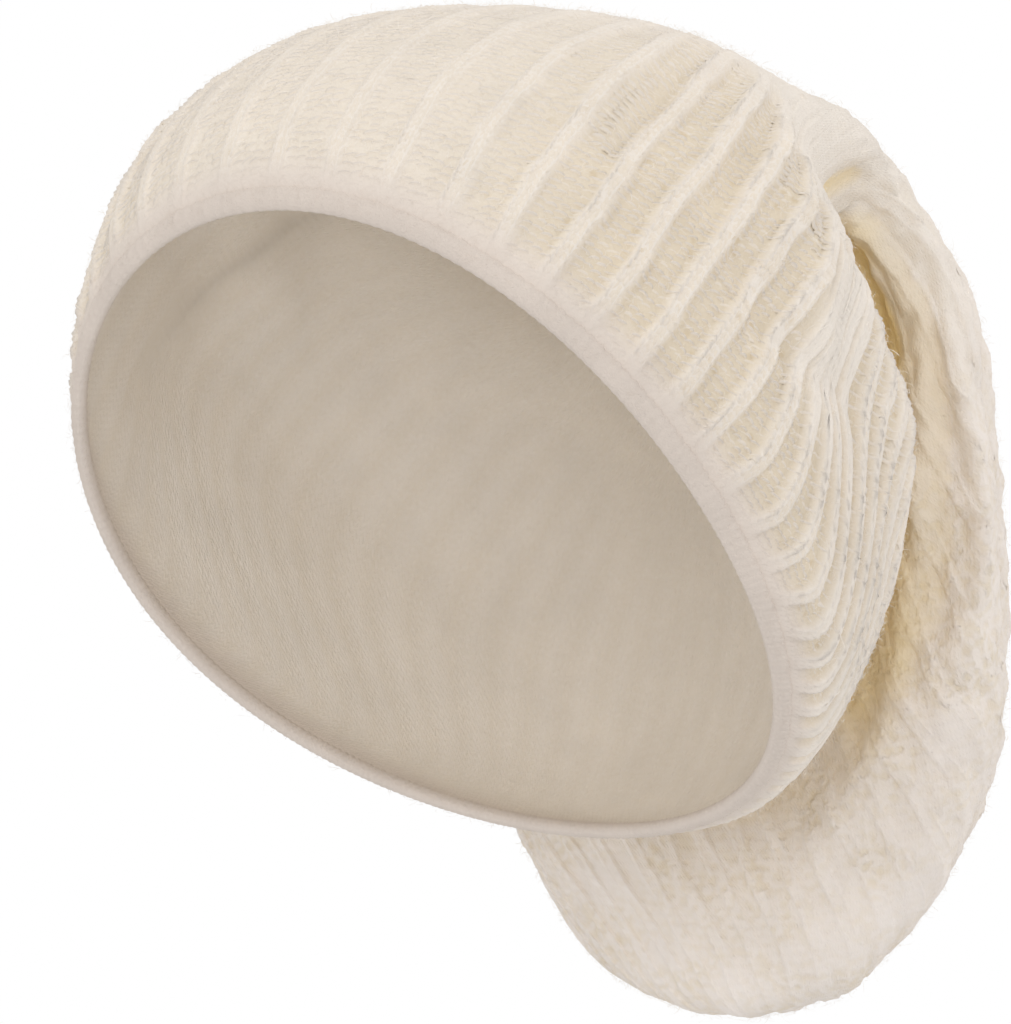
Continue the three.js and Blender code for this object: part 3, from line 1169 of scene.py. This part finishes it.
@dataclass
class Stitches:
    """Loops of yarn laid over the skin: crescents in the troughs and slanted legs on the ribs.

    Attributes:
        cloth: The sampled cloth.
        part: The stretch of the tube that they lie on.
        seed: Seed of the small differences between them.
        wale: Width of a purl stitch with room on both sides.
        purl_room: Least room from one rib to the next for purl stitches.
        purl_yarn: Half width of their yarn.
        purl_rise: Height of their yarn.
        purl_shade: How deep in the knit they seem, and how much more so their low parts.
        leg_room: Least room from one rib to the next for legs on the rib.
        leg_yarn: Half width of a leg's yarn.
        leg_rise: Height of a leg's yarn.
        leg_reach: Half length of a leg along the rib.
        leg_shade: The same two values for the legs.
        foot: Height of the feet of all yarn.
        swing: Height of the bow of a purl stitch.
        slope: Slant of a purl stitch.
        sunk: Share of the purl stitches that lie low.
        first_row: Row of the first stitches.
    """

    cloth: Cloth
    part: Part
    seed: int
    wale: float = 2.1
    purl_room: float = 8.0
    purl_yarn: float = 0.46
    purl_rise: float = 0.62
    purl_shade: tuple[float, float] = (0.05, 1.5)
    leg_room: float = 9.0
    leg_yarn: float = 0.75
    leg_rise: float = 0.36
    leg_reach: float = 1.55
    leg_shade: tuple[float, float] = (0.3, 2.2)
    foot: float = -0.12
    swing: float = 0.6
    slope: float = 0.27
    sunk: float = 0.14
    first_row: int = 3

    def __post_init__(self) -> None:
        """Seeds the small differences between stitches."""
        self.random = np.random.default_rng(self.seed)

    def rows(self) -> range:
        """Rows of this part.

        Returns:
            Row numbers.
        """
        middle = int(np.interp(NECK_END, self.cloth.place, self.cloth.rows))
        if self.part is Part.HEAD:
            return range(self.first_row, middle)
        return range(middle, self.cloth.row_count - 1)

    def ribs_at(self, row: int) -> Array:
        """Numbers of the ribs that a row crosses."""
        return np.arange(-RIBS // 2, RIBS // 2, self.cloth.gap(row))

    def purl_places(self) -> Array:
        """Places of the purl stitches, as many to a trough as have room.

        Returns:
            Rib, row and width of each stitch.
        """
        found = []
        for row in self.rows():
            step = self.cloth.gap(row)
            ribs = self.ribs_at(row).astype(float)
            middle = np.full(len(ribs), row + 0.5)
            pitch = self.cloth.sample(self.cloth.rib_pitch, ribs + step / 2, middle)
            half = self.cloth.rib_width(ribs, middle)
            room = pitch * step - 2 * half
            counts = np.clip((room / self.wale + 0.35).astype(int), 0, 4)
            counts[pitch * step < self.purl_room] = 0
            for rib, wide, count, edge, one in zip(ribs, room, counts, half, pitch):
                if count:
                    width = wide / count
                    spots = rib + (edge + (np.arange(count) + 0.5) * width) / one
                    found.append(np.column_stack([spots, np.full(count, row + 0.5), np.full(count, width)]))
        return np.vstack(found)

    def lay(
        self, name: str, rib: Array, row: Array, local: Array, triangles: Array, shade: tuple[float, float]
    ) -> bpy.types.Object:
        """Lays strands on the cloth and joins them into one mesh.

        Args:
            name: Name of the piece.
            rib: Rib of each strand's middle.
            row: Row of each strand's middle.
            local: (strand, point, 3) millimetres across, along and up.
            triangles: Triangles of one strand.
            shade: How deep in the knit the strands seem, and how much more so their low parts.

        Returns:
            The piece.
        """
        cloth = self.cloth
        across = cloth.sample(cloth.rib_pitch, rib, row)[:, None]
        along = cloth.sample(cloth.row_pitch, rib, row)[:, None]
        up = local[..., 2]
        ribs = rib[:, None] + local[..., 0] / across
        rows = np.clip(row[:, None] + local[..., 1] / along, 0.6, cloth.row_count - 0.4)
        relief = self.fullness(rib, row)[:, None]
        points = cloth.at(ribs, rows, np.where(up > 0, up * relief, up))
        count = local.shape[1]
        faces = (triangles[None] + count * np.arange(len(rib))[:, None, None]).reshape(-1, 3)
        openness = cloth.sample(cloth.openness, ribs, rows)
        # Painted shade: strands down in the troughs, and the low parts of each strand, take the deep colour.
        trough_shade = 0.3 * (-cloth.sample(cloth.relief, ribs, rows)).clip(0, 1)
        low = shade[1] * (0.32 - up) * relief
        depth = np.clip(shade[0] * relief + 0.05 + trough_shade + low, 0, 1)
        tones = np.column_stack([openness.ravel(), depth.ravel()])
        places = np.column_stack([ribs.ravel(), rows.ravel()])
        return new_mesh(name, points.reshape(-1, 3), faces, tones, places)

    def fullness(self, rib: Array, row: Array) -> Array:
        """How far the yarn stands out: less where the cloth is stretched, crowded or felted.

        Args:
            rib: Rib of each strand's middle.
            row: Row of each strand's middle.

        Returns:
            Shares of the full height.
        """
        cloth = self.cloth
        place = np.interp(row, cloth.rows, cloth.place)
        full = ease(2.2, 6.0, row) * (0.1 + 0.9 * ease(7.0, 12, cloth.room(rib, row)))
        full = full * (1 - 0.45 * ease(2.6, 4.2, place)) * (1 - 0.7 * ease(4.5, 8.0, place))
        degrees = np.degrees(np.abs(cloth.sample(cloth.angle, rib, row)))
        return full * (0.72 + 0.28 * ease(20, 55, degrees)) * (1 - 0.65 * ease(80, 112, degrees))

    def wobble(self, size: float, total: int) -> Array:
        """Small differences, one for each strand."""
        return self.random.normal(0, size, (total, 1))

    def build_purl(self, finish: bpy.types.Material) -> bpy.types.Object:
        """Makes the crescents in the troughs and dresses them.

        Args:
            finish: Their material.

        Returns:
            The piece.
        """
        rib, row, width = self.purl_places().T
        total = len(rib)
        share = np.array([-1, -0.55, 0, 0.55, 1])[None]
        x = share * width[:, None] * 0.68 * (1 + self.wobble(0.1, total)) + self.wobble(0.12, total)
        bow = self.swing * (1 + self.wobble(0.3, total))
        y = bow * (0.5 - share**2) + (self.slope + self.wobble(0.13, total)) * x + self.wobble(0.16, total)
        plump = np.array([0.25, 0.9, 1, 0.9, 0.25])[None] * (1 + self.wobble(0.14, total))
        sunk = np.where(self.random.random((total, 1)) < self.sunk, 0.25, 1)
        top = self.purl_rise * plump * sunk + self.wobble(0.06, total)
        local, triangles = arched_strand(np.stack([x, y], -1), self.purl_yarn * plump, top, self.foot)
        piece = self.lay(f"purl_{self.part.value}", rib, row, local, triangles, self.purl_shade)
        place_piece(piece, "cream_knit", finish)
        return piece

    def build_knit(self, finish: bpy.types.Material) -> bpy.types.Object:
        """Makes the slanted legs on the ribs, two columns to a rib, and dresses them.

        Args:
            finish: Their material.

        Returns:
            The piece.
        """
        cloth = self.cloth
        rib, row = np.array([(r, row + 0.5) for row in self.rows() for r in self.ribs_at(row)], float).T
        roomy = cloth.room(rib, row) > self.leg_room
        rib, row = rib[roomy], row[roomy]
        width = cloth.rib_width(rib, row)
        rib = rib + cloth.shift(rib, row) / cloth.sample(cloth.rib_pitch, rib, row)
        ends = []
        for column in (-0.5, 0.5):
            for leg in (-1, 1):
                middle = column * width
                ends.append(np.stack([middle + leg * 0.4 * width, middle + leg * 0.1 * width], -1))
        copies = len(ends)
        ends = np.vstack(ends)
        rib, row, half = np.tile(rib, copies), np.tile(row, copies), np.tile(width, copies)[:, None]
        total = len(ends)
        share = np.array([0, 0.3, 0.7, 1])[None]
        x = ends[:, :1] * (1 - share) + ends[:, 1:] * share + self.wobble(0.07, total)
        y = self.leg_reach - 2 * self.leg_reach * share + self.wobble(0.14, total)
        plump = np.array([0.3, 1, 0.95, 0.3])[None] * (1 + self.wobble(0.1, total))
        outer = np.abs(x) / half > 0.5
        lean = np.clip(np.degrees(cloth.sample(cloth.angle, rib, row))[:, None] / 30, -1, 1)
        crown = np.where(outer, 1 - 0.45 * np.sign(x) * lean, 0.45)
        top = self.leg_rise * plump * crown + self.wobble(0.05, total)
        slim = (half / cloth.rib_half) ** 0.5
        local, triangles = arched_strand(np.stack([x, y], -1), self.leg_yarn * slim * plump, top, self.foot)
        piece = self.lay(f"ribs_{self.part.value}", rib, row, local, triangles, self.leg_shade)
        place_piece(piece, "cream_knit", finish)
        return piece


@dataclass
class BrimHem:
    """The rolled cast-on edge, with the small swell of each loop.

    Attributes:
        cloth: The sampled cloth.
        loops: Loops round the brim.
        per_loop: Rings of points to a loop.
        sides: Points to a ring.
        tall: Height of the edge along the cloth.
        thick: Its thickness.
        sink: How far its middle lies under the smooth cloth.
        swell: How much a loop swells, as a share.
        rib_lift: How far the edge rises to meet the end of a rib.
        openness: How open the edge counts as.
    """

    cloth: Cloth
    loops: int = 270
    per_loop: int = 4
    sides: int = 12
    tall: float = 5.8
    thick: float = 3.6
    sink: float = 1.5
    swell: float = 0.14
    rib_lift: float = 0.5
    openness: float = 0.93

    def build(self, finish: bpy.types.Material) -> bpy.types.Object:
        """Makes the edge and dresses it.

        Args:
            finish: Its material.

        Returns:
            The piece.
        """
        cloth = self.cloth
        count = self.loops * self.per_loop
        ribs = np.linspace(-RIBS / 2, RIBS / 2, count, endpoint=False)
        middle = np.full(count, self.tall / 2 / ROW_LENGTH)
        under = np.full(count, -self.sink)
        centre = cloth.at(ribs, middle, under, ribbed=False)
        along = cloth.at(ribs, middle + 1, under, ribbed=False) - centre
        along /= np.linalg.norm(along, axis=1, keepdims=True)
        out = cloth.sample(cloth.normal, ribs, middle)
        turn = np.linspace(0, 2 * np.pi, self.sides, endpoint=False)[None]
        phase = np.arange(count)[:, None] / self.per_loop
        wave = 1 + self.swell * np.cos(2 * np.pi * (phase + 0.25 * np.sin(turn))) * (0.4 + 0.2 * np.cos(turn))
        nearest = np.abs(ribs - np.round(ribs)) * cloth.sample(cloth.rib_pitch, ribs, middle) / cloth.rib_half
        lift = self.rib_lift * (1 - ease(0.6, 1.5, nearest))[:, None]
        lift = lift * ease(-0.5, 1, np.cos(turn)) * np.maximum(np.sin(turn), 0)
        cosine, sine = np.cos(turn) * wave, np.sin(turn) * wave + lift / self.thick
        points = (
            centre[:, None]
            + along[:, None] * (cosine * self.tall / 2)[..., None]
            + out[:, None] * (sine * self.thick / 2)[..., None]
        )
        number = np.arange(count * self.sides).reshape(count, self.sides)
        ahead, beside = np.roll(number, -1, 0), np.roll(number, -1, 1)
        corner = np.roll(ahead, -1, 1)
        faces = np.stack([number, beside, corner, ahead], -1).reshape(-1, 4)
        # Painted shade on the side of the roll that faces the cloth.
        depth = 0.5 - 0.5 * np.sin(turn) + 0 * phase
        tones = np.column_stack([np.full(number.size, self.openness), depth.ravel()])
        places = np.column_stack([np.repeat(ribs, self.sides), np.zeros(number.size)])
        piece = new_mesh("brim_hem", points.reshape(-1, 3), faces, tones, places)
        place_piece(piece, "rose_cream_edge", finish, "brim_hem")
        return piece


@dataclass
class WoolFuzz:
    """Loose hairs that curl off the wool.

    Attributes:
        cloth: The sampled cloth.
        count: Hairs on the whole hat.
        seed: Seed of their places and shapes.
        length: Shortest and longest hair.
        width: Width of a hair at its widest.
        rings: Places along a hair, as shares of its length, and the width there as a share.
        root_shades: Painted shade at each point of a hair, most at its root.
    """

    cloth: Cloth
    count: int = 39000
    seed: int = 7
    length: tuple[float, float] = (1.2, 3.6)
    width: float = 0.07
    rings: tuple[tuple[float, float], ...] = ((0.0, 0.8), (0.35, 1.0), (0.7, 0.7), (1.0, 0.0))
    root_shades: tuple[float, ...] = (0.5, 0.5, 0.3, 0.3, 0.1, 0.1, 0.0)

    def build(self, finish: bpy.types.Material) -> bpy.types.Object:
        """Makes the hairs as thin curled blades and dresses them.

        Args:
            finish: Their material.

        Returns:
            The piece.
        """
        cloth = self.cloth
        random = np.random.default_rng(self.seed)
        area = (cloth.rib_pitch * cloth.row_pitch)[1:-2]
        pick = random.choice(area.size, self.count, p=(area / area.sum()).ravel())
        i, j = np.unravel_index(pick, area.shape)
        row = cloth.rows[1:-2][i] + random.uniform(-0.25, 0.25, self.count)
        rib = cloth.ribs[j] + random.uniform(-0.5, 0.5, self.count) * cloth.ribs_step
        turn = random.uniform(0, 2 * np.pi, self.count)
        bend = random.normal(0, 1.1, self.count)
        length = random.uniform(*self.length, self.count)
        rise = random.gamma(1.6, 0.45, self.count).clip(0.1, 2.4)
        start = random.uniform(0.0, 0.8, self.count)
        across = cloth.sample(cloth.rib_pitch, rib, row)
        along = cloth.sample(cloth.row_pitch, rib, row)
        corners = []
        x = y = np.zeros(self.count)
        last = 0.0
        for share, size in self.rings:
            way = turn + bend * share * 2
            x, y = x + np.cos(way) * length * (share - last), y + np.sin(way) * length * (share - last)
            last = share
            height = start + rise * np.sin(share * (1.2 + 0.5 * bend.clip(-1, 1)))
            side = self.width * size * np.stack([-np.sin(way), np.cos(way), 0.6 * np.sin(3 * way)], -1)
            for sign in (-0.5, 0.5) if size else (0.0,):
                shift = side * sign
                ribs = rib + (x + shift[:, 0]) / across
                rows = np.clip(row + (y + shift[:, 1]) / along, 0.2, cloth.row_count - 0.3)
                corners.append(cloth.at(ribs, rows, height + shift[:, 2]))
        points = np.stack(corners, 1)
        each = points.shape[1]
        blade = np.array([(0, 1, 3), (0, 3, 2), (2, 3, 5), (2, 5, 4), (4, 5, 6)])
        faces = (blade[None] + each * np.arange(self.count)[:, None, None]).reshape(-1, 3)
        openness = np.repeat(cloth.sample(cloth.openness, rib, row), each)
        tones = np.column_stack([openness, np.tile(self.root_shades, self.count)])
        places = np.repeat(np.column_stack([rib, row]), each, axis=0)
        piece = new_mesh("wool_fuzz", points.reshape(-1, 3), faces, tones, places)
        place_piece(piece, "cream_knit", finish)
        return piece


@dataclass(frozen=True)
class Lamp:
    """A soft round lamp.

    Attributes:
        name: Name of the lamp.
        place: Metres from the hat to the camera's right, towards the camera and up.
        size: Width in metres.
        power: Power in watts.
        colour: Colour of its light.
    """

    name: str
    place: tuple[float, float, float]
    size: float
    power: float
    colour: tuple[float, float, float]


LAMPS = (
    Lamp("key", (-0.7, 1.5, 1.1), 0.8, 2, (1, 0.985, 0.97)),
    Lamp("front", (0.1, 2.0, 0.3), 1.2, 5.5, (1, 0.985, 0.99)),
    Lamp("left", (-1.9, 1.0, 0.2), 0.8, 2, (1, 0.99, 0.98)),
    Lamp("top", (0.1, 0.3, 2.1), 1.0, 4, (1, 1, 0.99)),
    Lamp("back", (2.1, -0.5, 0.5), 1.2, 6, (1, 0.97, 0.99)),
)


@dataclass(frozen=True)
class Studio:
    """White surroundings, soft light and the camera.

    Attributes:
        azimuth: Degrees from the front of the hat to the camera, towards +X.
        distance: Metres from the camera to its target.
        lens: Focal length in millimetres.
        target: Point that the camera looks at.
        seen_colour: Colour of the surroundings as seen.
        shed_colour: Colour of the light that they shed.
        shed_strength: Strength of that light.
    """

    azimuth: float = 33.0
    distance: float = 1.4
    lens: float = 219.0
    target: tuple[float, float, float] = (0.0129, 0.0084, 0.0052)
    seen_colour: Colour = (1, 1, 1, 1)
    shed_colour: Colour = (1, 0.985, 0.99, 1)
    shed_strength: float = 0.8

    def axes(self) -> tuple[Vector, Vector]:
        """Direction from the hat to the camera, and the camera's right."""
        turn = np.radians(self.azimuth)
        return Vector((np.sin(turn), -np.cos(turn), 0)), Vector((np.cos(turn), np.sin(turn), 0))

    def aim(self, made: bpy.types.Object, away: Vector) -> None:
        """Puts a lamp or the camera at a distance from the target, looks back at it and links it.

        Args:
            made: The lamp or camera.
            away: The way to it from the target.
        """
        made.location = Vector(self.target) + away
        made.rotation_mode = "QUATERNION"
        made.rotation_quaternion = (-away).to_track_quat("-Z", "Y")
        bpy.context.scene.collection.objects.link(made)

    def camera(self) -> None:
        """Puts the camera where the hat was seen from."""
        made = bpy.data.objects.new("camera", bpy.data.cameras.new("camera"))
        made.data.lens = self.lens
        made.data.clip_end = 100
        self.aim(made, self.axes()[0] * self.distance)
        bpy.context.scene.camera = made

    def light(self, lamp: Lamp) -> None:
        """Adds a lamp.

        Args:
            lamp: Its place, size and light.
        """
        back, right = self.axes()
        light = bpy.data.lights.new(lamp.name, "AREA")
        light.shape, light.size, light.energy, light.color = "DISK", lamp.size, lamp.power, lamp.colour
        side, front, up = lamp.place
        self.aim(bpy.data.objects.new(lamp.name, light), right * side + back * front + Vector((0, 0, up)))

    def world(self) -> None:
        """White surroundings, dimmer as light than as seen."""
        world = bpy.data.worlds.new("white room")
        world.use_nodes = True
        nodes = NodeTree(world.node_tree)
        world.node_tree.nodes.clear()
        seen = nodes.add("Background", {"Color": self.seen_colour, "Strength": 1.0}).outputs[0]
        shed = nodes.add("Background", {"Color": self.shed_colour, "Strength": self.shed_strength}).outputs[0]
        path = nodes.add("LightPath").outputs["Is Camera Ray"]
        mixed = nodes.add("MixShader", {0: path, 1: shed, 2: seen}).outputs[0]
        nodes.add("OutputWorld", {"Surface": mixed})
        bpy.context.scene.world = world

    def build(self) -> None:
        """Sets the whole studio up."""
        self.camera()
        self.world()
        for lamp in LAMPS:
            self.light(lamp)
        view = bpy.context.scene.view_settings
        view.view_transform, view.look = "Standard", "None"


def main() -> None:
    """Builds the hat piece by piece."""
    logging.basicConfig(level=logging.INFO, format="%(message)s")
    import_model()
    felt = wool_felt_group()
    tone, relief = wool_tone_group(felt), wool_relief_group(felt)
    yarn = CREAM_YARN.build(tone, relief)
    cloth = Cloth(TubeForm())
    cloth.find_openness()
    KnitBody(cloth).build(CREAM_SKIN.build(tone, relief))
    for part, seed in ((Part.HEAD, 11), (Part.BAG, 12)):
        stitches = Stitches(cloth, part, seed)
        if part is Part.HEAD:
            stitches.build_purl(yarn)
        stitches.build_knit(yarn)
    BrimHem(cloth).build(SHADED_EDGE.build(tone, relief))
    WoolFuzz(cloth).build(WOOL_HAIR.build(tone, relief))
    Studio().build()


if __name__ == "__main__":
    main()
